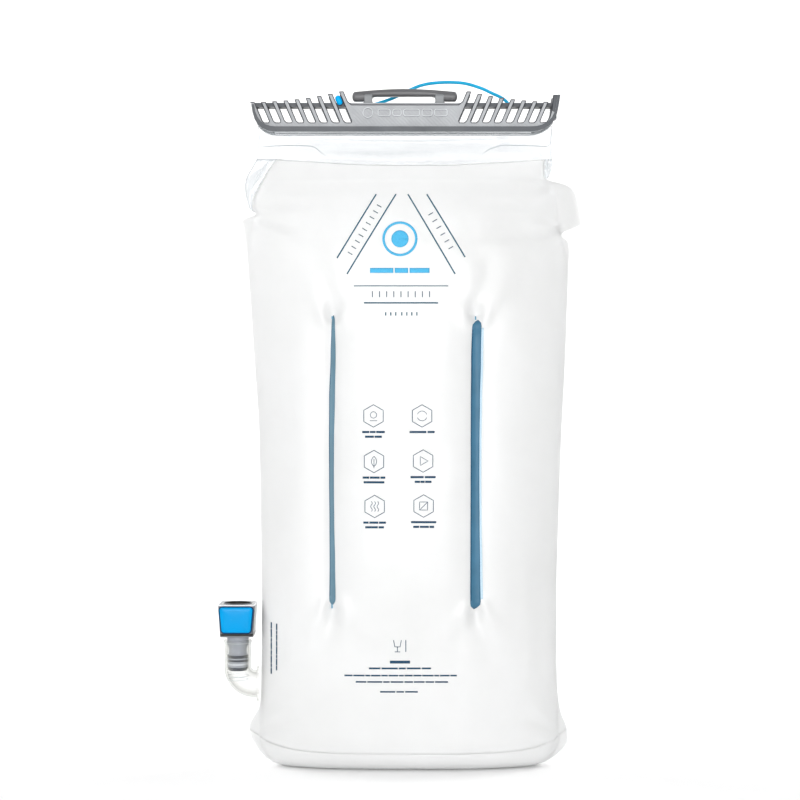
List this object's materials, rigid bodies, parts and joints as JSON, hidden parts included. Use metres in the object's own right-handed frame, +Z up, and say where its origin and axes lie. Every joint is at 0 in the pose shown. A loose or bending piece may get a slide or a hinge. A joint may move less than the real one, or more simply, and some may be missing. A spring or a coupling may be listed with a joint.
{
  "type": "hydration bladder",
  "caption": "Soft drinking-water reservoir with a slide-off closure bar and carry handle, inner walls, a tethered bar and a side quick-connect hose socket.",
  "frame": {"origin": "centre of the flat under the base gusset, on the surface the reservoir stands on", "axes": "+Z up, towards the closure bar; the printed front faces -Y; the hose connector is on the -X side; the closure bar slides off towards +X"},
  "size_m": [0.2222, 0.061, 0.4213],
  "materials": {
    "frosted_film": "frosted translucent",
    "clear_film": "clear gloss",
    "inner_wall_film": "satin",
    "bar_grey": "satin",
    "mouth_strip": "satin",
    "shell_grey": "semi gloss",
    "stem_grey": "satin",
    "button_blue": "gloss",
    "cord_blue": "satin",
    "seal_rubber": "matt",
    "spring_steel": "satin"
  },
  "bodies": {
    "reservoir": {"front_panel": "frosted_film", "back_panel": "frosted_film", "base_gusset": "frosted_film", "left_side_fin": "clear_film", "right_side_lug": "frosted_film", "front_neck_film": "clear_film", "back_neck_film": "clear_film", "folded_mouth": "clear_film", "mouth_stiffener": "mouth_strip", "left_inner_wall": "inner_wall_film", "right_inner_wall": "inner_wall_film", "left_front_weld_band": "inner_wall_film", "left_back_weld_band": "inner_wall_film", "right_front_weld_band": "inner_wall_film", "right_back_weld_band": "inner_wall_film", "port_flange": "clear_film", "port_elbow": "clear_film", "connector_shell": "shell_grey", "barbed_stem": "stem_grey", "socket_o_ring": "seal_rubber", "spring_seat": "stem_grey", "tether_anchor": "clear_film"},
    "closure_bar": {"slide_bar": "bar_grey", "carry_handle": "bar_grey", "tether_bead": "button_blue", "tether_cord": "cord_blue"},
    "hose_release": {"release_button": "button_blue", "latch_plate": "stem_grey", "button_spring": "spring_steel"},
    "shut_off_valve": {"valve_poppet": "stem_grey", "poppet_seal": "seal_rubber", "valve_spring": "spring_steel"}
  },
  "joints": [
    {"name": "bar_slide", "type": "slide", "parent": "reservoir", "child": "closure_bar", "axis": [1, 0, 0], "range_m": [0, 0.195], "deforming": ["tether_cord"]},
    {"name": "button_press", "type": "slide", "parent": "reservoir", "child": "hose_release", "axis": [0, 1, 0], "range_m": [0, 0.0014], "stiffness_N_per_m": 400, "springref_m": -0.003, "deforming": ["button_spring"]},
    {"name": "valve_open", "type": "slide", "parent": "reservoir", "child": "shut_off_valve", "axis": [0, 0, -1], "range_m": [0, 0.002], "stiffness_N_per_m": 300, "springref_m": -0.003, "deforming": ["valve_spring"]}
  ]
}
